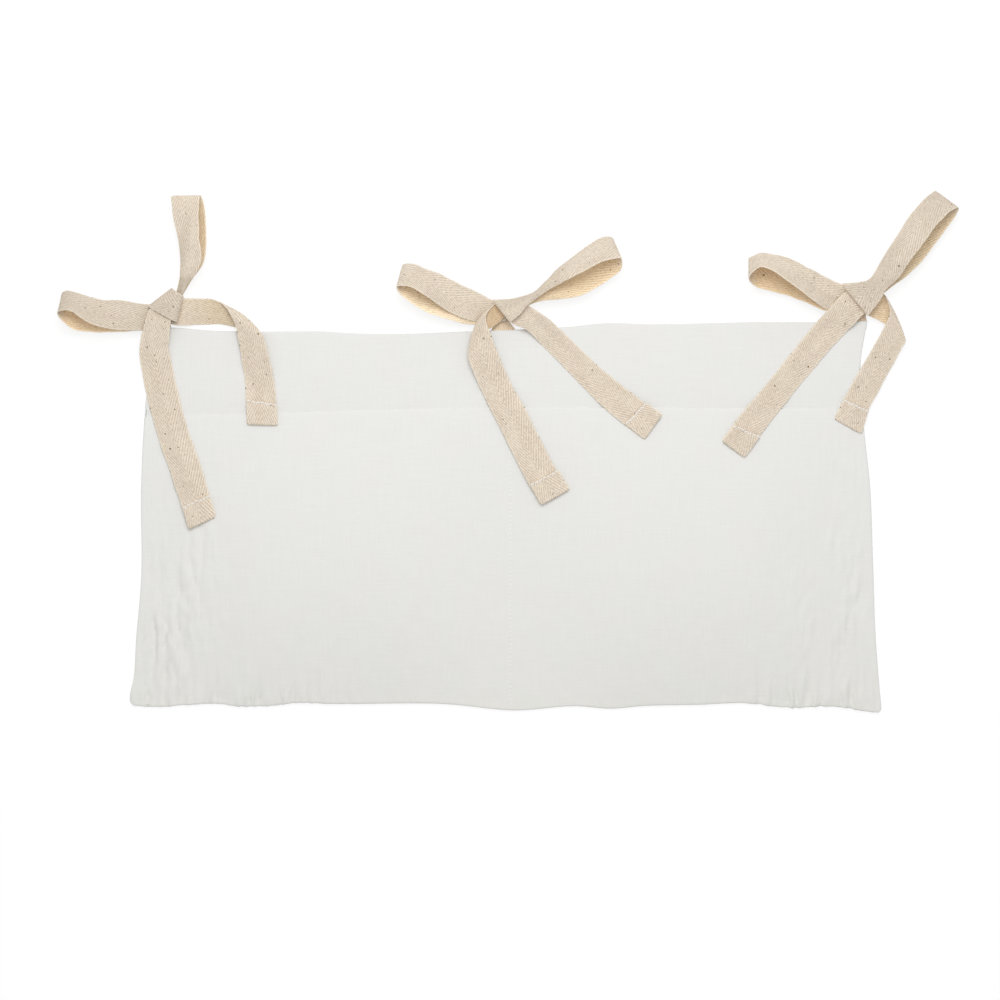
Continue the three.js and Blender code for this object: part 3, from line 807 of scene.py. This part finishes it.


# %% [markdown]
# ## The bows
# Every bow has the same pieces: a root sewn into the top edge, a wrap that ties it, two loops and two tails.
# A simulation could tie a bow, but hardly this one, so its tapes are placed one by one.
# Each tape is a list of places across it, measured in the photograph in millimetres from the knot's centre:
# x and y of its two edges. Loops and wraps also have the height of both edges. A loop's tape leans,
# so one edge lies near the floor and the other stands up to 20 mm over it, which opens the loop
# to the camera. The camera sees a raised point a little further out than it is, so each point is drawn
# back in by its height. A tail has the height at which it leaves the knot and, where it turns over,
# the number of the place with the crease, the bulge of the fold and the painted shade and bounce light
# of the shaded tape before it. One tail is also raised by a millimetre.

# %% Bow sizes
BOWS = {
    "left": {
        "wrap": [
            (8, 8, -4, -6, 1.2, 1.2), (4.8, 14.4, -14.4, -0.4, 6.5, 6.5), (6, 13.6, -11.5, -2.6, 12, 12),
            (9.5, 11, -2, -8, 13, 13), (12.4, 9, 6, -12, 12, 12), (13.2, 8.2, 8.4, -12.6, 6.5, 6.5),
            (9, 6, 4, -9, 1.2, 1.2),
        ],
        "loops": {
            "left": [
                (2, 2, 0, -14, 4.2, 4.8), (-13.6, 1.6, -16, -19.2, 4.4, 5.8),
                (-36.8, 4.8, -36.8, -19.2, 5.5, 12.5), (-52.8, 5.6, -52.8, -16.8, 8.7, 19.7),
                (-64, 8.5, -64.8, -12, 12, 26.3), (-73, 11.6, -75, -4.6, 11, 29.5),
                (-80, 12.6, -82, -3.2, 8.5, 27.5), (-84, 9.6, -87.6, -5.6, 4.5, 23),
                (-81, 4.5, -84, -11.5, 1.6, 19), (-73, 3.2, -75.4, -18.2, 0.9, 13.5),
                (-60.8, 2.5, -60.8, -20.8, 0.8, 9.5), (-44.8, 2.5, -44.8, -20.8, 0.8, 8),
                (-19.2, 2, -19.2, -19.5, 1.6, 4), (0, 1, -2, -16, 2.8, 3.2),
            ],
            "up": [
                (5, 2, 8, 0, 5.5, 6), (11.2, 18.4, 16, 16, 7.5, 10), (11.2, 27, 22.5, 24.5, 9, 16),
                (11.2, 37, 28, 37, 9.5, 21), (9.6, 52, 26.6, 52, 10, 25), (5.6, 69, 25.8, 69, 9.5, 23),
                (4, 81, 26, 81, 8, 19.5), (3.6, 88.4, 27.4, 89, 4.5, 13), (8, 84, 30, 83, 1.6, 11.5),
                (11, 69, 31.4, 69, 0.8, 13), (12.5, 50, 32, 48, 0.8, 13.5), (12.5, 36, 29.6, 34.4, 1, 11),
                (11, 24, 20, 20.5, 2.5, 6.5), (6, 4, 9, 2, 4, 4.2),
            ],
        },
        "tails": {
            "long": dict(leaves=10.4, pairs=[
                (-8, 2, 8, 3), (-13.6, -5.6, 6.4, -4), (-19.2, -26.4, 3.2, -26.4),
                (-20.8, -42.4, 3.2, -37.6), (-14.4, -76, 11.2, -74.4), (-4.8, -109.6, 18.4, -100.8),
                (4.8, -136, 28, -126.4), (18.4, -177.6, 40, -168),
            ]),
            "short": dict(leaves=4, crease=4, bulge=4, tint=(0.96, 0.92, 0.83), pairs=[
                (-6, 6, -6, -10), (9.6, 6.4, 8, -15.6), (27.2, 6.2, 25.6, -15.2), (38, 5.4, 46, -15),
                (46, 0.6, 76, -24), (51, -5.5, 79.6, -29), (56, -16.5, 83, -41), (60.6, -42, 86, -56),
                (63.4, -64, 88, -70), (64.9, -94, 89.3, -94.6),
            ]),
        },
    },
    "center": {
        "wrap": [
            (-7, 4.6, 2, -7, 10.4, 10.4), (-15.2, 7.2, -0.8, -11.4, 12.2, 12.2),
            (-11.5, 7.6, 1.6, -9.6, 13.4, 13.6), (-2, 8, 8, -4, 13.8, 14.2),
            (7.2, 9.6, 13.6, 2.8, 12.8, 13.5),
        ],
        "loops": {
            "left": [
                (0, 2, -4, -10, 3.8, 4.2), (-16.8, 8, -24, -11, 3.8, 5.5),
                (-28.8, 14.4, -36, -8.5, 5.2, 11), (-44.8, 21.6, -50, -2.5, 7.5, 14),
                (-56.8, 28, -60.5, 4.5, 10.5, 19), (-68, 32, -70.5, 11.5, 11.5, 26),
                (-79, 36.2, -80.5, 17.2, 9.5, 26.5), (-87, 35, -91.5, 17.6, 5, 22.5),
                (-83.5, 28, -88.5, 11.2, 1.8, 19), (-74, 24, -77.2, 2.6, 0.9, 14),
                (-60, 17, -65, -4, 0.8, 13.5), (-43, 11, -49, -9, 0.8, 11), (-26, 4, -32.8, -12.8, 1.6, 6),
                (-4, 0, -8, -11, 2.8, 3.2),
            ],
            "right": [
                (19.2, 13.8, 23.2, 10, 11, 14.5), (28.8, 21.8, 35.2, 17.8, 10.5, 20),
                (39.2, 33.6, 47.2, 24, 10.5, 26), (51.2, 42.6, 59.2, 30.2, 10.5, 30),
                (63.2, 52, 71.2, 36.8, 10, 28), (74, 57.6, 80.8, 39.4, 8, 25),
                (81.6, 56.4, 88.4, 40, 4.6, 22), (78, 49, 88, 31, 1.6, 17), (66, 43, 79.2, 23.6, 0.8, 10),
                (54, 34, 67.2, 16, 0.8, 11.5), (43, 25.5, 55.2, 10.2, 0.8, 13), (30, 17.5, 40, 7.4, 2, 12),
                (16, 10.5, 20, 5, 4.5, 8), (0, 1, 2, -4, 5, 6),
            ],
        },
        "tails": {
            "left": dict(leaves=6.6, raised=1, crease=3, bulge=4, tint=(0.93, 0.81, 0.64), pairs=[
                (2, 6, 4, -3), (-6, 5, -4, -6.5), (-11, 4, -13, -14.5), (-14, 2, -30, -24),
                (-18.4, -3.4, -33.4, -31), (-20, -9, -34.2, -38), (-16.6, -20, -32, -47),
                (-0.8, -58.4, -22.4, -68.8), (12.8, -83.2, -9.6, -94.4), (30.4, -118.4, 8, -129.6),
                (46.4, -144, 23.2, -156.8),
            ]),
            "right": dict(leaves=8.6, pairs=[
                (0, 6, -4, -6), (10.4, 3.2, 0.6, -12.4), (27.2, -6.4, 12.8, -18.2),
                (39.2, -16.8, 23.2, -28), (63.2, -40, 45.6, -50.4), (91.2, -64, 72.8, -78.4),
                (120, -84.8, 105.6, -104.8),
            ]),
        },
    },
    "right": {
        "wrap": [
            (-8, 6, 5, -9.6, 10.4, 10.4), (-18.4, 10.4, 2.6, -15.4, 12.2, 12.2),
            (-13.5, 11.4, 6, -11.6, 13.4, 13.6), (-3, 12.4, 13, -2, 14, 14.4),
            (4, 14.8, 18, 6.6, 13.2, 14.1),
        ],
        "loops": {
            "left": [
                (0, 3, -4, -11, 3.8, 4.2), (-18.4, 10.4, -27, -11, 4.2, 6),
                (-32, 16.8, -40, -3.5, 6.2, 16.5), (-44, 23.2, -51, 5, 9, 24),
                (-60, 31.2, -64, 14.8, 11, 29), (-72, 34.2, -74, 21.4, 10, 31),
                (-82, 35.4, -84, 24, 8, 29.5), (-92.4, 32, -92.6, 15.5, 4.5, 22),
                (-88, 31, -86, 7.8, 1.4, 12), (-76, 29, -72, 4, 0.8, 7), (-61, 23, -56, -0.8, 0.8, 7),
                (-47, 14, -42.4, -6.4, 0.8, 9), (-30, 6, -30.4, -11, 1.6, 6), (-4, 1, -8, -10, 2.8, 3.2),
            ],
            "up": [
                (10.4, 23.6, 28, 15.8, 11, 20), (17.6, 36, 36, 28, 11, 25), (28, 52, 46, 41, 11.5, 25.5),
                (37.6, 67.2, 56, 55, 11.5, 24), (48, 78.8, 66.4, 66.4, 9.5, 21),
                (57, 85.4, 75.6, 71.6, 4.6, 15), (53, 77, 73, 64.4, 1.6, 11), (44, 66, 65.6, 54.6, 0.8, 10),
                (34, 52, 56, 41.6, 0.8, 9), (25, 38.5, 45.6, 28, 0.8, 10), (17, 27, 36, 18.4, 1, 11),
                (10, 17, 25, 10.2, 2.5, 10), (-2, 4, 6, -4, 4.5, 6),
            ],
        },
        "tails": {
            "left": dict(leaves=8.8, pairs=[
                (-2, 9, 8, -4), (-12, 7.2, 5.6, -7.2), (-29.6, -9.6, -8, -20.8), (-52, -36, -29.6, -44),
                (-76, -66.4, -54.4, -73.6), (-100, -94.4, -77.6, -102.4), (-114.4, -114.4, -96.8, -128),
            ]),
            "right": dict(leaves=4, crease=3, bulge=1.5, tint=(1.08, 0.98, 0.82), pairs=[
                (-2, 8, -6, -10), (7.2, 8, 0.8, -14.4), (12, 4.8, 12.6, -20), (16.2, 0, 31.4, -33.8),
                (19, -14, 28.8, -41), (9.6, -34.4, 27, -45.6), (-7.2, -63.2, 12, -73.6),
                (-17.6, -82.4, 2.4, -91.2), (-24.8, -96.8, -3.2, -108.8),
            ]),
        },
    },
}
KNOTS = {
    "left": joints["left_loop_left_swing"]["pos_m"],
    "center": joints["center_loop_left_swing"]["pos_m"],
    "right": joints["right_loop_left_swing"]["pos_m"],
}


def seen_at(x, y, z, knot):
    nearer = 1 - z * MM / camera.location.z
    x = PICTURE_MIDDLE.x + (knot[0] + x * MM - PICTURE_MIDDLE.x) * nearer
    y = PICTURE_MIDDLE.y + (knot[1] + y * MM - PICTURE_MIDDLE.y) * nearer
    return x, y, z * MM


def stations_at(places, knot):
    made = []
    for ax, ay, bx, by, *levels in places:
        az, bz = levels or (0, 0)
        made.append([*seen_at(ax, ay, az, knot), *seen_at(bx, by, bz, knot)])
    return np.array(made)


print("knots at", [[round(v, 4) for v in place] for place in KNOTS.values()])

# %% [markdown]
# ## Wraps and loops
# In a bow the tape that ties the knot runs on into one of the loops. At the middle and right bow that
# is plain to see, so there the wrap and its loop are one ribbon. At the left bow the wrap lies over both
# loops. Each loop has painted light and shade of its own along its whole length, and past its tip its
# inside gets painted bounce light.

# %% Wraps and loops
SMOOTH_REACH = 4
GATHERED_CROWN = 0.3
MOST_CROWN = 4 * MM
CROWN_START = 16 * MM
TIP_TURN = 12 * MM
# Each loop's painted light and shade: a gain on the whole tape, and bounce light painted inside past the
# tip.
LOOP_PAINTED_SHADING = {
    "left_loop_left": dict(painted_shade=0.92, tint=(1.34, 1.24, 1.06)),
    "left_loop_up": dict(painted_shade=1.04, tint=(1.04, 0.99, 0.87)),
    "center_loop_left": dict(painted_shade=0.96, tint=(1.33, 1.28, 1.15)),
    "center_loop_right": dict(painted_shade=0.97, tint=(1.2, 1.12, 0.95)),
    "right_loop_left": dict(painted_shade=1.0, tint=(1.18, 1.07, 0.88)),
    "right_loop_up": dict(painted_shade=0.93, tint=(1.08, 1.02, 0.88)),
}
LOOP_STEP = 0.75 * RIBBON_STEP


def smoothed(values):
    count = 2 * SMOOTH_REACH + 1
    return np.convolve(np.pad(values, SMOOTH_REACH, mode="edge"), np.ones(count) / count, "valid")


def gathered_crown(pairs, knot):
    width = np.linalg.norm(pairs[:, 3:6] - pairs[:, :3], axis=1)
    slack = np.sqrt(np.maximum(TAPE_WIDTH ** 2 - width ** 2, 0)) * GATHERED_CROWN
    out = np.linalg.norm((pairs[:, :2] + pairs[:, 3:5]) / 2 - np.array(knot[:2]), axis=1)
    slack = np.minimum(slack, MOST_CROWN) * ease(out / CROWN_START - 1)
    heading = np.gradient((pairs[:, :3] + pairs[:, 3:6]) / 2, axis=0)
    up = np.cross(heading, pairs[:, :3] - pairs[:, 3:6])
    return slack * np.sign(up[:, 2])


def add_loop(bow_name, loop_name, stations, knot, nodes):
    node = f"{bow_name}_loop_{loop_name}"
    pairs = along_curve(stations, LOOP_STEP)
    crown = smoothed(gathered_crown(pairs, knot))
    middle = (pairs[:, :3] + pairs[:, 3:6]) / 2
    run = run_along(middle)
    tip = np.argmax(np.linalg.norm(middle[:, :2] - np.array(knot[:2]), axis=1))
    past_tip = ease((run - run[tip]) / TIP_TURN)
    tape, flat = ribbon(f"{node}_tape", pairs, crown, inside=past_tip, **LOOP_PAINTED_SHADING[node])
    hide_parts(node, *nodes)
    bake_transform(tape)
    print(tape.name, round(flat[0], 3), "m of tape")


# %% [markdown]
# ## Roots
# The root is the doubled tape that runs from the knot to the top edge, where it is sewn between
# the two cloths. Its edges are given as distances from the knot's middle, in millimetres, and the knot
# pinches it to a share of its width. One ribbon stands for both layers, which look like one from above.

# %% Roots and loops
RUNS_ON = {"left": None, "center": "right", "right": "up"}
ROOTS = {
    "left": dict(low=-9.5, high=3.5, pinch=1.0),
    "center": dict(low=-16, high=4, pinch=0.35),
    "right": dict(low=-12.5, high=1.5, pinch=0.85),
}
# Painted light on the roots, which lie in the knot's shade, and painted shade on the left bow's wrap.
ROOT_PAINTED_LIGHT = (1.14, 1.07, 0.98)
WRAP_SHADE = (0.9, 0.9, 0.91)
WRAP_STEP = RIBBON_STEP / 2
ROOT_START = 3 * MM
ROOT_TUCK = 7 * MM
ROOT_LEVEL = 1.0 * MM

for bow_name, bow in BOWS.items():
    knot = KNOTS[bow_name]
    edge = float(top_y(knot[0])) - knot[1]
    root = ROOTS[bow_name]
    middle = knot[0] + (root["low"] + root["high"]) / 2 * MM
    half = (root["high"] - root["low"]) / 2 * MM
    line = [(ROOT_START, root["pinch"]), (edge / 2, root["pinch"]), (edge, 1), (edge - ROOT_TUCK, 1)]
    stations = []
    for rise, share in line:
        y = knot[1] + rise
        stations.append([middle - half * share, y, ROOT_LEVEL, middle + half * share, y, ROOT_LEVEL])
    pairs = along_curve(stations, RIBBON_STEP)
    # Painted light brightens the root where the knot shades it.
    root_tape, flat = ribbon(f"{bow_name}_root_tape", pairs, inside=1.0, tint=ROOT_PAINTED_LIGHT)
    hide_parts(f"{bow_name}_root")
    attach(root_tape, "back")
    wrap = stations_at(bow["wrap"], knot)
    for loop_name, places in bow["loops"].items():
        stations = stations_at(places, knot)
        runs_on = loop_name == RUNS_ON[bow_name]
        whole = np.vstack([wrap, stations]) if runs_on else stations
        add_loop(bow_name, loop_name, whole, knot, [f"{bow_name}_knot"] if runs_on else [])
    if not RUNS_ON[bow_name]:
        pairs = along_curve(wrap, WRAP_STEP)
        tape, flat = ribbon(f"{bow_name}_wrap_tape", pairs, inside=1.0, tint=WRAP_SHADE)
        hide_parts(f"{bow_name}_knot")
        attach(tape, "back")
        print(tape.name, round(flat[0], 3), "m of tape")

# %% [markdown]
# ## Tails
# Three tails run straight out from under their knot. The other three turn over once in a rolled
# diagonal fold, so that they come back over themselves. Each tail is laid down on whatever is under it,
# floor, panel or pocket, and its end is folded back and sewn.
# A simulation could drop the tape, but the formula for the cloth already says how high each place lies.

# %% Tail helpers
TAPE_GAP = 0.2 * MM
HEM_LENGTH = 18 * MM
HEM_TURN = 0.62 * MM
HEM_SLIP = 0.5 * MM
HEM_CORNER = 0.8 * MM
FOLD_RISE = 6.5 * MM
FOLD_SOFTNESS = 10 * MM
LEVEL_RUN = 20 * MM
TAIL_SLOPE = 0.2
FOLD_SLOPE = 0.12
UNDER_REACH = 5
UNDER_EASE = 3
SPOTS_ACROSS = 5
HEM_TURN_STEPS = 6


def level_under(pairs):
    shares = np.linspace(0, 1, SPOTS_ACROSS)
    levels = []
    for pair in pairs:
        spots = pair[None, :2] * (1 - shares)[:, None] + pair[None, 3:5] * shares[:, None]
        levels.append(max(rest_level(x, y) for x, y in spots))
    # The tape bridges hollows, so it rests on the highest cloth near each place.
    near = [max(levels[max(i - SMOOTH_REACH, 0):i + SMOOTH_REACH + 1]) for i in range(len(levels))]
    return smoothed(near) + TAPE_GAP + TAPE_THICKNESS / 2


def laid_tail(tail, knot):
    stations = stations_at(tail["pairs"], knot)
    order = np.arange(len(stations))[:, None]
    curve = along_curve(np.hstack([stations, order]), RIBBON_STEP)
    pairs, place = curve[:, :6], curve[:, 6]
    run = run_along((pairs[:, :3] + pairs[:, 3:]) / 2)
    rest = level_under(pairs) + tail.get("raised", 0) * MM
    level = np.maximum(rest, tail["leaves"] * MM - TAIL_SLOPE * np.maximum(run - LEVEL_RUN, 0))
    fold = np.zeros((len(run), 3))
    under = np.zeros(len(run))
    if "crease" in tail:
        # Where the tape turns over, it climbs over itself, slopes down again and rolls out at its crease.
        crease_run = np.interp(tail["crease"], place, run)
        past = run - crease_run
        start = np.interp(crease_run, run, level) + FOLD_RISE
        over = np.maximum(rest, start - FOLD_SLOPE * np.maximum(past, 0))
        level = level + (over - level) * ease(past / FOLD_SOFTNESS / 2 + 0.5)
        crease = stations[tail["crease"]]
        outward = np.array([crease[1] - crease[4], crease[3] - crease[0], 0])
        before, after = stations[tail["crease"] - 1], stations[tail["crease"] + 1]
        inner = (before[:3] + before[3:] + after[:3] + after[3:]) / 4
        outward *= np.sign(np.dot(outward, (crease[:3] + crease[3:]) / 2 - inner)) / np.linalg.norm(outward)
        fold = outward * tail["bulge"] * MM * np.exp(-(past / FOLD_SOFTNESS) ** 2)[:, None]
        fades_in = ease((past / FOLD_SOFTNESS + UNDER_REACH) / UNDER_EASE)
        under = ease(-past / FOLD_SOFTNESS) * fades_in
    pairs[:, 2] += level
    pairs[:, 5] += level
    return pairs, fold, under


def hemmed(pairs):
    middle = (pairs[:, :3] + pairs[:, 3:]) / 2
    heading = middle[-1] - middle[-2]
    heading[2] = 0
    heading /= np.linalg.norm(heading)
    slip = np.array([-heading[1], heading[0], 0]) * HEM_SLIP
    # The end turns over in a half circle and runs back on top of the tape.
    turn = []
    for angle in np.linspace(0, math.pi, HEM_TURN_STEPS + 1)[1:]:
        shift = heading * HEM_TURN * math.sin(angle) + slip * angle / math.pi
        shift[2] = HEM_TURN * (1 - math.cos(angle))
        drawn_in = (pairs[-1][3:] - pairs[-1][:3]) / TAPE_WIDTH * HEM_CORNER * math.sin(angle)
        turn.append(pairs[-1] + np.concatenate([shift + drawn_in, shift - drawn_in]))
    back = pairs[-2:-int(HEM_LENGTH / RIBBON_STEP) - 2:-1] + np.tile(slip, 2)
    back[:, [2, 5]] += 2 * HEM_TURN
    return np.vstack([pairs, turn, back])


# %% [markdown]
# ## Stitches
# One stitch is a ball drawn out along the thread, with its ends dipping into the cloth. It is modelled once,
# and a row is made of copies, each with its own mesh, joined into one piece.
# An Array modifier would keep the stitches in line, while here each has its own place and heading.

# %% Stitch
STITCH_LENGTH = 3.3 * MM
STITCH_WIDTH = 1.15 * MM
STITCH_DIP = 0.5 * MM
STITCH_FLATNESS = 0.8

bpy.ops.object.select_all(action="DESELECT")
bpy.ops.mesh.primitive_uv_sphere_add(segments=10, ring_count=8, radius=STITCH_WIDTH / 2)
stitch = bpy.context.object
stitch.name = "stitch"
bpy.ops.object.mode_set(mode="EDIT")
bpy.ops.mesh.select_all(action="SELECT")
bpy.ops.transform.resize(value=(STITCH_LENGTH / STITCH_WIDTH, 1, STITCH_FLATNESS))
bpy.ops.object.mode_set(mode="OBJECT")
for vertex in stitch.data.vertices:
    vertex.co.z -= STITCH_DIP * (2 * vertex.co.x / STITCH_LENGTH) ** 4
stitch.hide_render = True
print("stitch of", len(stitch.data.polygons), "faces")


def stitch_row(name, places, headings, material):
    copies = []
    for place, heading in zip(places, headings):
        copy = stitch.copy()
        copy.data = stitch.data.copy()
        copy.hide_render = False
        bpy.context.collection.objects.link(copy)
        turned = Vector(heading).to_track_quat("X", "Z").to_matrix().to_4x4()
        copy.data.transform(Matrix.Translation(place) @ turned)
        copies.append(copy)
    bpy.ops.object.select_all(action="DESELECT")
    for copy in copies:
        copy.select_set(True)
    bpy.context.view_layer.objects.active = copies[0]
    bpy.ops.object.join()
    row = copies[0]
    row.name = name
    row.data.name = name
    smooth(row, material)
    return row


# %% [markdown]
# ## Tails and their hem stitches
# Each tail is laid down and hemmed, and a row of white stitches runs across its hem.

# %% Tails
HEM_STITCHES = 7
HEM_STITCH_INSET = 1.5 * MM
HEM_STITCH_LIFT = 0.1 * MM
SWAY_WIDTH = (0.11, 1)
SWAY_SEED = 2.2
SWAY_SHIFT = 2
HEM_SWAY = 1.2 * MM


for bow_name, bow in BOWS.items():
    knot = KNOTS[bow_name]
    for tail_name, tail in bow["tails"].items():
        node = f"{bow_name}_tail_{tail_name}"
        laid, fold, under = laid_tail(tail, knot)
        pairs = hemmed(laid)
        added = len(pairs) - len(laid)
        fold, under = np.pad(fold, ((0, added), (0, 0))), np.pad(under, (0, added))
        # The stretch before a fold gets painted shade and bounce light, because the fold above shades it.
        tape, flat = ribbon(f"{node}_tape", pairs, fold=fold, inside=under, tint=tail.get("tint", (1, 1, 1)))
        a, b = Vector(pairs[-1][:3]), Vector(pairs[-1][3:])
        heading = (b - a).normalized()
        forward = (Vector(pairs[-4][:3]) - a).normalized()
        shares = [(i + 0.5) / HEM_STITCHES for i in range(HEM_STITCHES)]
        on_hem = Vector((0, 0, TAPE_THICKNESS / 2 + HEM_STITCH_LIFT)) + forward * HEM_STITCH_INSET
        sway = ripple(np.array(shares), ribbon_count, SWAY_WIDTH, SWAY_SEED)
        places = [a.lerp(b, share) + on_hem + forward * HEM_SWAY * s for share, s in zip(shares, sway)]
        headings = [heading + forward * s for s in np.roll(sway, SWAY_SHIFT)]
        row = stitch_row(f"{node}_stitches", places, headings, white_thread)
        for piece in (tape, row):
            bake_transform(piece)
        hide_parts(node)
        print(tape.name, round(flat[0], 3), "m of tape")

# %% [markdown]
# ## Divider seam
# The middle seam is a row of machine stitches through all the cloths, in white thread.
# It could be a bump in the cloth's material, but real stitches also show from the side.

# %% Divider stitches
DIVIDER_STITCH = 3.4 * MM
DIVIDER_START = 5 * MM
DIVIDER_STOP = 2 * MM

low = float(bottom_y(DIVIDER_X)) + DIVIDER_START
high = float(mouth_y(DIVIDER_X)) - DIVIDER_STOP
steps = np.arange(low, high, DIVIDER_STITCH)
level = [float(pocket_top(DIVIDER_X, y)) - SEAM_DIP for y in steps]
places = [Vector((DIVIDER_X, y, z)) for y, z in zip(steps, level)]
seam = stitch_row("divider_stitches", places, [(0, 1, 0)] * len(steps), cloth_thread)
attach(seam, "back")
bpy.data.objects.remove(stitch)
print("divider of", len(steps), "stitches")

# %% Finish
bpy.context.scene.view_settings.view_transform = "Standard"
